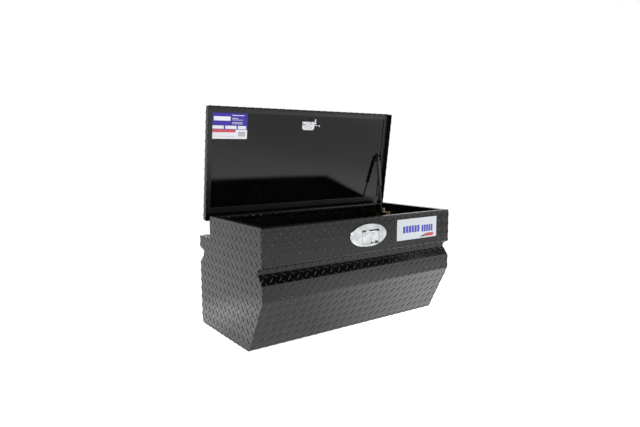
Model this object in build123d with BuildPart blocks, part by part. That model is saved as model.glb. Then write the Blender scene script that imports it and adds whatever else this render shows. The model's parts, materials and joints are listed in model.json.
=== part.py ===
from build123d import *
import os
from math import cos, radians, sin

os.makedirs("parts", exist_ok=True)

# Chest-style truck tool box, lid open as it stands at rest.
# Millimetres. X runs left to right, +Y to the rear, +Z up.
# The origin is on the underside of the box, in the middle of its footprint.

# ---------------------------------------------------------------- box shell
box_length = 927.0          # outside, end panel to end panel
box_depth = 514.0           # outside, front face to the rear-most face
rim_height = 458.0          # underside to the top of the rim
sheet = 2.0                 # tread plate thickness
opening_depth = 415.0       # front face to the rear wall above the ledge
ledge_height = 369.0        # top of the rear ledge
slant_height = 201.5        # where the slanted front starts
slant_setback = 103.0       # front face to the bottom front edge
groove_depth = 28.0         # how far the rail groove reaches in from the front
rear_groove_depth = 36.0    # and from the rear-most face
groove_lip = 320.6          # bottom edge of the upper front band
rear_lip = 323.0            # bottom edge of the ledge band
groove_top = 311.0
groove_floor = 294.0
groove_end = 260.0          # where the groove runs out to the lower face
rim_flange = 22.0           # rim folded inwards
rim_return = 12.0           # and down again
bend = 4.0                  # outside radius of an ordinary bend
bottom_bend = 12.0          # outside radius of the two bottom bends

half_length = box_length / 2
front = -box_depth / 2
rear = box_depth / 2
back_wall = front + opening_depth
wrap_half = half_length - sheet

# ---------------------------------------------------------------- lid
hinge_y = back_wall + 19.8
hinge_z = rim_height - 14.6
lid_tilt = radians(7.74)    # the open lid leans forward of upright by this
lid_width = 947.0
lid_run = 451.0             # front edge to rear edge
lid_rear = -6.2             # rear edge, behind the hinge axis
lid_top = -20.6             # outer surface, measured inwards from the hinge axis
lid_depth = 24.2            # depth of the turned-down edge, which laps over the rim
lid_bend = 4.0
seal_height = 3.6
side_seal = 25.0            # width of the foam seal along the sides and the rear
front_seal = 21.5
seal_gap = 1.0              # from the seal to the turned-down edge

lid_front = lid_rear + lid_run
lid_inner = lid_top + sheet          # smooth inner face of the lid plate
lid_edge = lid_top + lid_depth       # free edge of the turned-down sides
lid_plane = Plane(
    origin=(0, hinge_y, hinge_z),
    x_dir=(1, 0, 0),
    z_dir=(0, -cos(lid_tilt), -sin(lid_tilt)),
)

# ---------------------------------------------------------------- hinge
leaf = 1.5
pin_radius = 2.4
pin_play = 0.06
barrel_radius = pin_radius + leaf
hinge_half = 455.0
knuckle = 35.0
knuckle_gap = 0.4
leaf_drop = 24.0            # body leaf, from the axis down the rear wall
rivet_radius = 2.4
rivet_head = 4.6
rivet_head_rise = 1.3
rivet_tail = 2.2            # set end of a blind rivet, inside the wall
rivet_drop = 16.0           # wall rivets, below the hinge axis
lid_rivet_radius = 1.55
lid_rivet_rise = 10.0       # lid rivets, outwards from the hinge axis
rivet_pitch = 82.0
rivet_count = 11

# ---------------------------------------------------------------- gas strut
strut_x = 418.5
upper_along = 235.8         # upper ball, from the hinge axis along the lid
upper_in = -3.6             # and inwards from it
lower_ball = Vector(strut_x, back_wall - 36.0, rim_height - 33.0)
ball_radius = 4.0
ball_play = 0.1
tube_radius = 8.0
tube_wall = 1.5
tube_end = 136.0            # from the upper ball
shank = 14.0                # socket shank, from the ball to the tube or rod
guide_length = 12.0
rod_radius = 3.5
rod_play = 0.06
socket_radius = 6.5
stud_radius = 2.6
ear_gap = 11.5              # ball centre to the bracket ear
ear = 2.5
bracket_half = 14.0         # half the body bracket's width
bracket_top = 10.0          # its shelf, below the lower ball
bracket_bottom = 54.0
bracket_screws = (20.0, 44.0)
open_pivot_gap = 0.3        # lower stud to its bracket

upper_ball = lid_plane.from_local_coords(Vector(strut_x, upper_along, upper_in))
strut_length = (lower_ball - upper_ball).length
strut_plane = Plane(origin=upper_ball, x_dir=(1, 0, 0), z_dir=lower_ball - upper_ball)

# ---------------------------------------------------------------- latch
bezel_x = 6.0
bezel_z = 391.0
bezel_width = 183.0
bezel_height = 91.0
bezel_rise = 3.5
gasket = 1.0
bezel_bevel = 2.2
bezel_stud = 2.5
bezel_stud_reach = 70.0     # bezel studs, either side of the bezel's middle
paddle_x = 14.5
paddle_width = 84.0
paddle_top = 403.0
paddle_bottom = 357.5
paddle_sheet = 2.0
window_gap = 1.5
window_headroom = 8.0       # slot above the paddle that its top edge swings into
tray_depth = 24.0
tray_sheet = 1.5
pivot_y = front + 6.0
pivot_z = 401.0
paddle_pin_radius = 2.0
lock_x = 34.0
lock_z = 366.0
lock_radius = 8.0
push_z = 411.0
push_radius = 3.0
push_play = 0.08
hook_pivot_y = front + 60.0
hook_pivot_z = 395.0
hook_pin_radius = 3.0
hook_half = 6.0             # half the hook's thickness along X
dome_gap = 0.3              # between a domed rod end and what it pushes

# ---------------------------------------------------------------- striker
striker_left = -28.0
striker_leg_right = 24.0
striker_foot_right = 35.0
striker_along = 383.6
striker_sheet = 2.5
striker_reach = 34.3        # from the lid's inner face
guide_radius = 3.2
guide_height = 19.0         # upper leg of the guide rod, from the lid's inner face
guide_reach = 50.0          # tip of its other leg
guide_top = 409.5

bottom_up = (Align.CENTER, Align.CENTER, Align.MIN)
over = 1.0                  # how far a cut runs past the metal
hole_play = 0.05


def block(x, y, z, mode=Mode.ADD):
    """A box from three (low, high) spans."""
    middle = [(low + high) / 2 for low, high in (x, y, z)]
    size = [high - low for low, high in (x, y, z)]
    with Locations(tuple(middle)):
        Box(*size, mode=mode)


def bar(start, direction, radius, length, mode=Mode.ADD):
    """A round bar from a start point along a direction."""
    with Locations(Plane(origin=start, z_dir=direction)):
        Cylinder(radius, length, align=bottom_up, mode=mode)


def rivet_places():
    """X of each rivet along the hinge."""
    first = -rivet_pitch * (rivet_count - 1) / 2
    return [first + rivet_pitch * i for i in range(rivet_count)]


# ================================================================ box shell
# One bent sheet makes the rim, front, bottom, rear wall and ledge.
outline = [
    (front, rim_height),
    (front, groove_lip),
    (front + groove_depth, groove_top),
    (front + groove_depth, groove_floor),
    (front, groove_end),
    (front, slant_height),
    (front + slant_setback, 0),
    (rear, 0),
    (rear, groove_end),
    (rear - rear_groove_depth, groove_floor),
    (rear - rear_groove_depth, groove_top),
    (rear, rear_lip),
    (rear, ledge_height),
    (back_wall, ledge_height),
    (back_wall, rim_height),
]
outline_radii = [bend] * 6 + [bottom_bend] * 2 + [bend] * 7
rim_return_z = rim_height - rim_return
front_return = [(front + rim_flange, rim_return_z), (front + rim_flange, rim_height)]
rear_return = [(back_wall - rim_flange, rim_height), (back_wall - rim_flange, rim_return_z)]
rivet_z = hinge_z - rivet_drop
stud_places = (bezel_x - bezel_stud_reach, bezel_x + bezel_stud_reach)
tray_half = paddle_width / 2 + window_gap + tray_sheet
tray_top = push_z + 6.0
tray_bottom = paddle_bottom - window_gap - tray_sheet

with BuildPart() as body_wrap:
    with BuildSketch(Plane.YZ):
        with BuildLine():
            FilletPolyline(*front_return, *outline, *rear_return, radius=[bend] + outline_radii + [bend])
            offset(amount=sheet, side=Side.LEFT)
        make_face()
    extrude(amount=wrap_half, both=True)
    # window in the front band for the latch tray
    block(
        (paddle_x - tray_half, paddle_x + tray_half),
        (front - over, front + sheet + over),
        (tray_bottom, tray_top),
        mode=Mode.SUBTRACT,
    )
    for x in stud_places:
        start = (x, front - over, bezel_z)
        bar(start, (0, 1, 0), bezel_stud + hole_play, sheet + 2 * over, mode=Mode.SUBTRACT)
    for x in rivet_places():
        start = (x, back_wall - sheet - over, rivet_z)
        bar(start, (0, 1, 0), rivet_radius, sheet + 2 * over, mode=Mode.SUBTRACT)
body_wrap.part.label = "body_wrap"
export_step(body_wrap.part, "parts/body_wrap.step")

# The two end panels follow the bent sheet's outline and close the box.
for side, name in ((-1, "left_end_panel"), (1, "right_end_panel")):
    with BuildPart() as end_panel:
        with BuildSketch(Plane.YZ.offset(side * (half_length - sheet / 2))):
            with BuildLine():
                FilletPolyline(*outline, radius=outline_radii, close=True)
            make_face()
        extrude(amount=sheet / 2, both=True)
        inner = side * wrap_half
        flange_edge = side * (half_length - rim_flange)
        flange_y = (front + rim_flange, back_wall - rim_flange)
        block(sorted((inner, flange_edge)), flange_y, (rim_height - sheet, rim_height))
        block(
            sorted((flange_edge + side * sheet, flange_edge)),
            flange_y,
            (rim_return_z, rim_height),
        )
        if side > 0:
            for drop in bracket_screws:
                start = (wrap_half - over, lower_ball.Y, lower_ball.Z - drop)
                bar(start, (1, 0, 0), rivet_radius + 0.1, sheet + 2 * over, mode=Mode.SUBTRACT)
    end_panel.part.label = name
    export_step(end_panel.part, f"parts/{name}.step")

# A pressed strip under the front rim stiffens it and carries the latch.
stiffener_drop = 30.0
stiffener_depth = 12.0
stiffener_sheet = 2.0
with BuildPart() as rim_stiffener:
    top = rim_return_z - 0.5
    under = top - stiffener_sheet
    near = front + sheet
    far = near + stiffener_depth
    left_part = (-wrap_half + 2, paddle_x - tray_half - 6)
    right_part = (paddle_x + tray_half + 6, wrap_half - 2)
    for x in (left_part, right_part):
        block(x, (near, far), (under, top))
        block(x, (near, near + stiffener_sheet), (top - stiffener_drop, under))
        block(x, (far - stiffener_sheet, far), (top - stiffener_drop, under))
rim_stiffener.part.label = "rim_stiffener"
export_step(rim_stiffener.part, "parts/rim_stiffener.step")

# ================================================================ hinge
# A continuous hinge: rolled knuckles of each leaf take turns along one pin.
knuckle_total = int(2 * hinge_half / knuckle)
hinge_low = -knuckle * knuckle_total / 2


def knuckles(parity):
    """X spans of every other knuckle."""
    spans = []
    for i in range(parity, knuckle_total, 2):
        low = hinge_low + i * knuckle + knuckle_gap / 2
        spans.append((low, low + knuckle - knuckle_gap))
    return spans


hinge_span = (hinge_low, hinge_low + knuckle * knuckle_total)
leaf_clear = barrel_radius + 0.5
with BuildPart(Plane((0, hinge_y, hinge_z))) as hinge_body_leaf:
    wall_face = back_wall - hinge_y
    shelf = (-barrel_radius, -barrel_radius + leaf)
    block(hinge_span, (wall_face, wall_face + leaf), (-leaf_drop, shelf[1]))
    block(hinge_span, (wall_face, -leaf_clear), shelf)
    for low, high in knuckles(0):
        bar((low, 0, 0), (1, 0, 0), barrel_radius, high - low)
        block((low, high), (-leaf_clear - 0.1, 0), shelf)
        cut = (low - over, 0, 0)
        bar(cut, (1, 0, 0), pin_radius + pin_play, high - low + 2 * over, mode=Mode.SUBTRACT)
    for x in rivet_places():
        cut = (x, wall_face - over, -rivet_drop)
        bar(cut, (0, 1, 0), rivet_radius, leaf + 2 * over, mode=Mode.SUBTRACT)
hinge_body_leaf.part.label = "hinge_body_leaf"
export_step(hinge_body_leaf.part, "parts/hinge_body_leaf.step")

# The lid leaf lies on the inside of the lid's rear edge.
rear_face = lid_rear + sheet
lid_hole = lid_rivet_radius + hole_play
with BuildPart(lid_plane) as hinge_lid_leaf:
    wall = (rear_face, rear_face + leaf)
    block(hinge_span, wall, (lid_inner + 2.0, -leaf_clear))
    for low, high in knuckles(1):
        bar((low, 0, 0), (1, 0, 0), barrel_radius, high - low)
        block((low, high), wall, (-leaf_clear - 0.1, 0))
        cut = (low - over, 0, 0)
        bar(cut, (1, 0, 0), pin_radius + pin_play, high - low + 2 * over, mode=Mode.SUBTRACT)
    for x in rivet_places():
        cut = (x, rear_face - over, -lid_rivet_rise)
        bar(cut, (0, 1, 0), lid_hole, leaf + 2 * over, mode=Mode.SUBTRACT)
hinge_lid_leaf.part.label = "hinge_lid_leaf"
export_step(hinge_lid_leaf.part, "parts/hinge_lid_leaf.step")

with BuildPart() as hinge_pin:
    with Locations(Plane((0, hinge_y, hinge_z), x_dir=(0, 1, 0), z_dir=(1, 0, 0))):
        Cylinder(pin_radius, hinge_span[1] - hinge_span[0] + 2)
    chamfer(hinge_pin.edges().filter_by(GeomType.CIRCLE), length=0.8)
hinge_pin.part.label = "hinge_pin"
export_step(hinge_pin.part, "parts/hinge_pin.step")

# Blind rivets hold the leaves: through the rear wall, and through the lid's rear edge.
with BuildPart() as hinge_body_rivets:
    for x in rivet_places():
        inside = back_wall - sheet
        bar((x, inside, rivet_z), (0, 1, 0), rivet_radius - hole_play, sheet + leaf)
        with Locations(Plane(origin=(x, back_wall + leaf, rivet_z), z_dir=(0, 1, 0))):
            Cone(rivet_head, rivet_head * 0.55, rivet_head_rise, align=bottom_up)
        bar((x, inside - rivet_tail, rivet_z), (0, 1, 0), rivet_radius + 1, rivet_tail)
hinge_body_rivets.part.label = "hinge_body_rivets"
export_step(hinge_body_rivets.part, "parts/hinge_body_rivets.step")

with BuildPart(lid_plane) as hinge_lid_rivets:
    for x in rivet_places():
        bar((x, lid_rear, -lid_rivet_rise), (0, 1, 0), lid_rivet_radius, sheet + leaf)
        bar((x, lid_rear - 1.2, -lid_rivet_rise), (0, 1, 0), 2.8, 1.2)
        bar((x, rear_face + leaf, -lid_rivet_rise), (0, 1, 0), 2.3, 1.6)
hinge_lid_rivets.part.label = "hinge_lid_rivets"
export_step(hinge_lid_rivets.part, "parts/hinge_lid_rivets.step")

# ================================================================ lid
lid_half = lid_width / 2
lid_middle = (lid_rear + lid_front) / 2
weld_stud = 2.5
weld_hole = weld_stud + 0.2
foot_sheet = 2.5

with BuildPart(lid_plane) as lid_skin:
    with BuildSketch(lid_plane.offset(lid_top)):
        with Locations((0, lid_middle)):
            RectangleRounded(lid_width, lid_run, lid_bend + 1)
    extrude(amount=lid_depth)
    outer_face = lid_skin.faces().sort_by(Axis(lid_plane.origin, lid_plane.z_dir))[0]
    fillet(outer_face.edges(), lid_bend)
    with BuildSketch(lid_plane.offset(lid_inner)):
        with Locations((0, lid_middle)):
            RectangleRounded(lid_width - 2 * sheet, lid_run - 2 * sheet, lid_bend - 1)
    extrude(amount=lid_depth, mode=Mode.SUBTRACT)
    for x in rivet_places():
        cut = (x, lid_rear - over, -lid_rivet_rise)
        bar(cut, (0, 1, 0), lid_hole, sheet + 2 * over, mode=Mode.SUBTRACT)
lid_skin.part.label = "lid_skin"
export_step(lid_skin.part, "parts/lid_skin.step")

# A flat foam seal runs round the lid's inner face and meets the rim.
seal_outer = lid_half - sheet - seal_gap
seal_front = lid_front - sheet - seal_gap
seal_rear = hinge_y - back_wall - 3.5
with BuildPart(lid_plane) as lid_seal:
    depth = (lid_inner, lid_inner + seal_height)
    block((-seal_outer, seal_outer), (seal_front - front_seal, seal_front), depth)
    block((-seal_outer, seal_outer), (seal_rear, seal_rear + side_seal), depth)
    for side in (-1, 1):
        across = sorted((side * (seal_outer - side_seal), side * seal_outer))
        block(across, (seal_rear + side_seal, seal_front - front_seal), depth)
    rounded = lid_seal.faces().sort_by(Axis(lid_plane.origin, lid_plane.z_dir))[-1]
    fillet(rounded.edges(), 1.2)
lid_seal.part.label = "lid_seal"
export_step(lid_seal.part, "parts/lid_seal.step")

# Striker: an angle plate whose window drops over the latch hook.
striker_front = striker_along + striker_sheet
striker_foot_depth = 23.0
striker_lip = 10.0          # the foot runs on past the leg
striker_studs = [(x, striker_along - 11.0) for x in (striker_left + 10.0, striker_leg_right - 4.0)]
striker_tip = lid_inner + striker_reach
window_half = 14.0
window_depth = (striker_tip - 22.0, striker_tip - 6.0)
with BuildPart(lid_plane) as striker_plate:
    foot_x = (striker_left, striker_foot_right)
    foot_along = (striker_along - striker_foot_depth, striker_front + striker_lip)
    block(foot_x, foot_along, (lid_inner, lid_inner + striker_sheet))
    block((striker_left, striker_leg_right), (striker_along, striker_front), (lid_inner, striker_tip))
    window = (bezel_x - window_half, bezel_x + window_half)
    block(window, (striker_along - over, striker_front + over), window_depth, mode=Mode.SUBTRACT)
    foot_corners = striker_plate.edges().filter_by(Axis((0, 0, 0), lid_plane.z_dir))
    foot_corners = foot_corners.sort_by(Axis(lid_plane.origin, lid_plane.y_dir))[:2]
    chamfer(foot_corners, length=7.0)
    for x, along in striker_studs:
        cut = (x, along, lid_inner - over)
        bar(cut, (0, 0, 1), weld_hole, striker_sheet + 2 * over, mode=Mode.SUBTRACT)
striker_plate.part.label = "striker_plate"
export_step(striker_plate.part, "parts/striker_plate.step")

# A rod welded to the striker's edge, bent towards the lid's front edge, centres the shutting lid.
guide_x = striker_leg_right + guide_radius + hole_play
guide_plane = Plane(
    origin=lid_plane.from_local_coords(Vector(guide_x, striker_along, lid_inner)),
    x_dir=lid_plane.y_dir,
    z_dir=(1, 0, 0),
)
with BuildPart() as striker_guide_rod:
    with BuildLine(guide_plane) as guide_path:
        FilletPolyline(
            (guide_top - striker_along, guide_height),
            (0, guide_height),
            (0, guide_reach),
            radius=7.0,
        )
    with BuildSketch(Plane(guide_path.wire() @ 0, z_dir=guide_path.wire() % 0)):
        Circle(guide_radius)
    sweep()
striker_guide_rod.part.label = "striker_guide_rod"
export_step(striker_guide_rod.part, "parts/striker_guide_rod.step")


def weld_studs(places, plate):
    """Studs welded to the lid, each with a flanged hexagon nut."""
    for x, along in places:
        bar((x, along, lid_inner), (0, 0, 1), weld_stud, plate + 7.0)
        bar((x, along, lid_inner + plate), (0, 0, 1), 5.6, 1.2)
        with BuildSketch(lid_plane.offset(lid_inner + plate + 1.2)) as hexagon:
            with Locations((x, along)):
                RegularPolygon(4.6, 6)
        extrude(hexagon.sketch, amount=4.0)


with BuildPart(lid_plane) as striker_nuts:
    weld_studs(striker_studs, striker_sheet)
striker_nuts.part.label = "striker_nuts"
export_step(striker_nuts.part, "parts/striker_nuts.step")

# ================================================================ gas strut
# Upper bracket: foot on the lid, ear upright beside the strut.
ear_x = strut_x + ear_gap
strut_studs = [(ear_x - 5.5, upper_along + step) for step in (-16.0, 16.0)]
with BuildPart(lid_plane) as strut_lid_bracket:
    foot_x = (ear_x - 12.0, ear_x + ear)
    block(foot_x, (upper_along - 22.0, upper_along + 22.0), (lid_inner, lid_inner + foot_sheet))
    block((ear_x, ear_x + ear), (upper_along - 12.0, upper_along + 12.0), (lid_inner, upper_in + 9.0))
    for x, along in strut_studs:
        cut = (x, along, lid_inner - over)
        bar(cut, (0, 0, 1), weld_hole, foot_sheet + 2 * over, mode=Mode.SUBTRACT)
    cut = (ear_x - over, upper_along, upper_in)
    bar(cut, (1, 0, 0), stud_radius + hole_play, ear + 2 * over, mode=Mode.SUBTRACT)
strut_lid_bracket.part.label = "strut_lid_bracket"
export_step(strut_lid_bracket.part, "parts/strut_lid_bracket.step")

with BuildPart(lid_plane) as strut_bracket_nuts:
    weld_studs(strut_studs, foot_sheet)
strut_bracket_nuts.part.label = "strut_bracket_nuts"
export_step(strut_bracket_nuts.part, "parts/strut_bracket_nuts.step")

# Lower bracket: a zinc-plated Z with its foot on the right end panel.
with BuildPart() as strut_body_bracket:
    shelf = lower_ball.Z - bracket_top
    foot_y = (lower_ball.Y - bracket_half, lower_ball.Y + bracket_half)
    ear_y = (lower_ball.Y - 10.0, lower_ball.Y + 10.0)
    block((wrap_half - foot_sheet, wrap_half), foot_y, (lower_ball.Z - bracket_bottom, shelf))
    block((ear_x, wrap_half), foot_y, (shelf - foot_sheet, shelf))
    block((ear_x, ear_x + ear), ear_y, (shelf - foot_sheet, lower_ball.Z + 10.0))
    for drop in bracket_screws:
        start = (wrap_half - foot_sheet - over, lower_ball.Y, lower_ball.Z - drop)
        bar(start, (1, 0, 0), rivet_radius + 0.1, foot_sheet + 2 * over, mode=Mode.SUBTRACT)
strut_body_bracket.part.label = "strut_body_bracket"
export_step(strut_body_bracket.part, "parts/strut_body_bracket.step")

with BuildPart() as strut_bracket_rivets:
    for drop in bracket_screws:
        z = lower_ball.Z - drop
        inside = wrap_half - foot_sheet
        bar((inside, lower_ball.Y, z), (1, 0, 0), rivet_radius + hole_play, foot_sheet + sheet)
        bar((inside - rivet_tail, lower_ball.Y, z), (1, 0, 0), rivet_radius + 1, rivet_tail)
        with Locations(Plane(origin=(half_length, lower_ball.Y, z), z_dir=(1, 0, 0))):
            Cone(rivet_head, rivet_head * 0.55, rivet_head_rise, align=bottom_up)
strut_bracket_rivets.part.label = "strut_bracket_rivets"
export_step(strut_bracket_rivets.part, "parts/strut_bracket_rivets.step")


# Ball studs. The lower one stays with the strut's end and stops short of its bracket.
collar = 2.2
collar_radius = 4.6
neck_x = (ball_radius**2 - stud_radius**2) ** 0.5
lower_seat = ear_gap - open_pivot_gap - 0.2
for name, centre, seat, tail in (
    ("upper_ball_stud", upper_ball, ear_gap, ear),
    ("lower_ball_stud", lower_ball, lower_seat, 0.2),
):
    with BuildPart() as ball_stud:
        with BuildSketch(Plane(centre, x_dir=(1, 0, 0), z_dir=(0, -1, 0))):
            with BuildLine():
                ThreePointArc((-ball_radius, 0), (0, ball_radius), (neck_x, stud_radius))
                Polyline(
                    (neck_x, stud_radius),
                    (seat - collar, stud_radius),
                    (seat - collar, collar_radius),
                    (seat, collar_radius),
                    (seat, stud_radius),
                    (seat + tail, stud_radius),
                    (seat + tail, 0),
                    (-ball_radius, 0),
                )
            make_face()
        revolve(axis=Axis(centre, (1, 0, 0)))
        if centre is upper_ball:
            bar((centre.X + seat + tail, centre.Y, centre.Z), (1, 0, 0), 4.2, 1.8)
    ball_stud.part.label = name
    export_step(ball_stud.part, f"parts/{name}.step")

lower_plane = Plane(lower_ball, x_dir=(1, 0, 0), z_dir=strut_plane.z_dir)


def socket(toward):
    """A ball socket whose shank points along the strut, open on +X for the stud."""
    bar((-socket_radius, 0, 0), (1, 0, 0), socket_radius, 2 * socket_radius - 1.5)
    bar((0, 0, 0), (0, 0, toward), 5.0, shank)
    Sphere(ball_radius + ball_play, mode=Mode.SUBTRACT)
    bar((0, 0, 0), (1, 0, 0), stud_radius + 1.1, 20.0, mode=Mode.SUBTRACT)


with BuildPart(strut_plane) as upper_socket:
    socket(1)
upper_socket.part.label = "upper_socket"
export_step(upper_socket.part, "parts/upper_socket.step")

with BuildPart(lower_plane) as lower_socket:
    socket(-1)
lower_socket.part.label = "lower_socket"
export_step(lower_socket.part, "parts/lower_socket.step")

with BuildPart(strut_plane) as strut_tube:
    bar((0, 0, shank), (0, 0, 1), tube_radius, tube_end - shank)
    crown = strut_tube.faces().sort_by(Axis(upper_ball, strut_plane.z_dir))
    fillet(crown[0].edges() + crown[-1].edges(), 1.4)
    chamber = (0, 0, shank + 3.0)
    chamber_length = tube_end - guide_length - chamber[2]
    bar(chamber, (0, 0, 1), tube_radius - tube_wall, chamber_length, mode=Mode.SUBTRACT)
    bar((0, 0, tube_end - 30.0), (0, 0, 1), rod_radius + rod_play, 40.0, mode=Mode.SUBTRACT)
strut_tube.part.label = "strut_tube"
export_step(strut_tube.part, "parts/strut_tube.step")

piston_at = tube_end - guide_length - 9.0
with BuildPart(strut_plane) as strut_rod:
    bar((0, 0, piston_at), (0, 0, 1), rod_radius, strut_length - shank - piston_at)
strut_rod.part.label = "strut_rod"
export_step(strut_rod.part, "parts/strut_rod.step")

with BuildPart(strut_plane) as strut_piston:
    bar((0, 0, piston_at - 6.0), (0, 0, 1), tube_radius - tube_wall - 0.08, 6.0)
strut_piston.part.label = "strut_piston"
export_step(strut_piston.part, "parts/strut_piston.step")

# ================================================================ latch
window_x = (paddle_x - paddle_width / 2 - window_gap, paddle_x + paddle_width / 2 + window_gap)
window_z = (paddle_bottom - window_gap, paddle_top + window_headroom)
bezel_back = front - gasket
tray_back = front + tray_depth

# Stainless bezel: a bevelled oval with the paddle's window in it.
with BuildPart() as latch_bezel:
    with BuildSketch(Plane.XZ.offset(-bezel_back)):
        with Locations((bezel_x, bezel_z)):
            Ellipse(bezel_width / 2, bezel_height / 2)
    extrude(amount=bezel_rise)
    proud = latch_bezel.faces().sort_by(Axis.Y)[0]
    chamfer(proud.edges(), length=bezel_bevel)
    cut_y = (bezel_back - bezel_rise - over, bezel_back + over)
    block(window_x, cut_y, window_z, mode=Mode.SUBTRACT)
latch_bezel.part.label = "latch_bezel"
export_step(latch_bezel.part, "parts/latch_bezel.step")

with BuildPart() as latch_gasket:
    with BuildSketch(Plane.XZ.offset(-front)):
        with Locations((bezel_x, bezel_z)):
            Ellipse(bezel_width / 2 - 3, bezel_height / 2 - 3)
    extrude(amount=gasket)
    block(
        (paddle_x - tray_half, paddle_x + tray_half),
        (bezel_back - over, front + over),
        (tray_bottom, tray_top),
        mode=Mode.SUBTRACT,
    )
    for x in stud_places:
        start = (x, bezel_back - over, bezel_z)
        bar(start, (0, 1, 0), bezel_stud + hole_play, gasket + 2 * over, mode=Mode.SUBTRACT)
latch_gasket.part.label = "latch_gasket"
export_step(latch_gasket.part, "parts/latch_gasket.step")

with BuildPart() as bezel_studs:
    for x in stud_places:
        bar((x, bezel_back, bezel_z), (0, 1, 0), bezel_stud, gasket + sheet + 9)
        bar((x, front + sheet, bezel_z), (0, 1, 0), 6.0, 1.2)
        with BuildSketch(Plane.XZ.offset(-(front + sheet + 1.2))):
            with Locations((x, bezel_z)):
                RegularPolygon(4.8, 6)
        extrude(amount=-4.0)
bezel_studs.part.label = "bezel_studs"
export_step(bezel_studs.part, "parts/bezel_studs.step")

with BuildPart() as latch_tray:
    tray_x = (paddle_x - tray_half, paddle_x + tray_half)
    block(tray_x, (bezel_back, tray_back), (tray_bottom, tray_top))
    hollow_y = (bezel_back - over, tray_back - tray_sheet)
    hollow_z = (tray_bottom + tray_sheet, tray_top - tray_sheet)
    block(window_x, hollow_y, hollow_z, mode=Mode.SUBTRACT)
    pin_hole = paddle_pin_radius + hole_play
    pin_start = (tray_x[0] - over, pivot_y, pivot_z)
    bar(pin_start, (1, 0, 0), pin_hole, 2 * (tray_half + over), mode=Mode.SUBTRACT)
    back_cut = tray_back - tray_sheet - over
    through = tray_sheet + 2 * over
    bar((bezel_x, back_cut, push_z), (0, 1, 0), push_radius + push_play, through, mode=Mode.SUBTRACT)
    bar((lock_x, back_cut, lock_z), (0, 1, 0), lock_radius + hole_play, through, mode=Mode.SUBTRACT)
latch_tray.part.label = "latch_tray"
export_step(latch_tray.part, "parts/latch_tray.step")

with BuildPart() as paddle_pin:
    bar((paddle_x - tray_half, pivot_y, pivot_z), (1, 0, 0), paddle_pin_radius, 2 * tray_half)
paddle_pin.part.label = "paddle_pin"
export_step(paddle_pin.part, "parts/paddle_pin.step")

# Paddle: folded plate on two cheeks and a sleeve, with a tab that pushes the rod.
paddle_half = paddle_width / 2
paddle_face = bezel_back - bezel_rise + 1.0
cheek = 2.0
sleeve_x = (bezel_x - 12.0, paddle_x + paddle_half - 3.0)
tab_half = 8.0
tab_thick = 3.0
scoop_half = 21.0
scoop_height = 16.0
with BuildPart() as paddle:
    paddle_x_span = (paddle_x - paddle_half, paddle_x + paddle_half)
    paddle_back = paddle_face + paddle_sheet
    block(paddle_x_span, (paddle_face, paddle_back), (paddle_bottom, paddle_top))
    fillet(paddle.edges().filter_by(Axis.Y), 3.0)
    for side in (-1, 1):
        outside = paddle_x + side * (paddle_half - 1.0)
        rib = sorted((outside, outside - side * cheek))
        block(rib, (paddle_back, pivot_y + 5), (pivot_z - 6, pivot_z + 1))
        block(rib, (paddle_back, paddle_back + 6), (paddle_bottom + 6, pivot_z - 6))
        bar((rib[0], pivot_y, pivot_z), (1, 0, 0), 5.0, cheek)
    bar((sleeve_x[0], pivot_y, pivot_z), (1, 0, 0), 4.0, sleeve_x[1] - sleeve_x[0])
    tab_z = (pivot_z, push_z + push_radius + 0.6)
    tab_y = (pivot_y - tab_thick / 2, pivot_y + tab_thick / 2)
    block((bezel_x - tab_half, bezel_x + tab_half), tab_y, tab_z)
    bore = (paddle_x_span[0] - over, pivot_y, pivot_z)
    bar(bore, (1, 0, 0), paddle_pin_radius + 0.06, paddle_width + 2 * over, mode=Mode.SUBTRACT)
    # finger scoop in the lower edge, where the lock shows
    with BuildSketch(Plane.XZ.offset(-(paddle_face - over))):
        with Locations((lock_x, paddle_bottom - 3)):
            Ellipse(scoop_half, scoop_height)
    extrude(amount=-(paddle_sheet + 2 * over), mode=Mode.SUBTRACT)
paddle.part.label = "paddle"
export_step(paddle.part, "parts/paddle.step")

spring_wire = 0.6
spring_pitch = 2 * spring_wire + 0.4
with BuildPart() as paddle_spring:
    with BuildLine() as paddle_coil:
        coil_start = (paddle_x - 34.0, pivot_y, pivot_z)
        Helix(spring_pitch, 6 * spring_pitch, 3.2, center=coil_start, direction=(1, 0, 0))
    with BuildSketch(Plane(paddle_coil.line @ 0, z_dir=paddle_coil.line % 0)):
        Circle(spring_wire)
    sweep(is_frenet=True)
paddle_spring.part.label = "paddle_spring"
export_step(paddle_spring.part, "parts/paddle_spring.step")

# The rod carries the tab's push straight back to the hook.
dome_front = pivot_y + tab_thick / 2 + dome_gap + push_radius
stem_face = hook_pivot_y - 4.0
dome_rear = stem_face - dome_gap - push_radius
with BuildPart() as push_rod:
    bar((bezel_x, dome_front, push_z), (0, 1, 0), push_radius, dome_rear - dome_front)
    with Locations((bezel_x, dome_front, push_z), (bezel_x, dome_rear, push_z)):
        Sphere(push_radius)
push_rod.part.label = "push_rod"
export_step(push_rod.part, "parts/push_rod.step")

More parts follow.
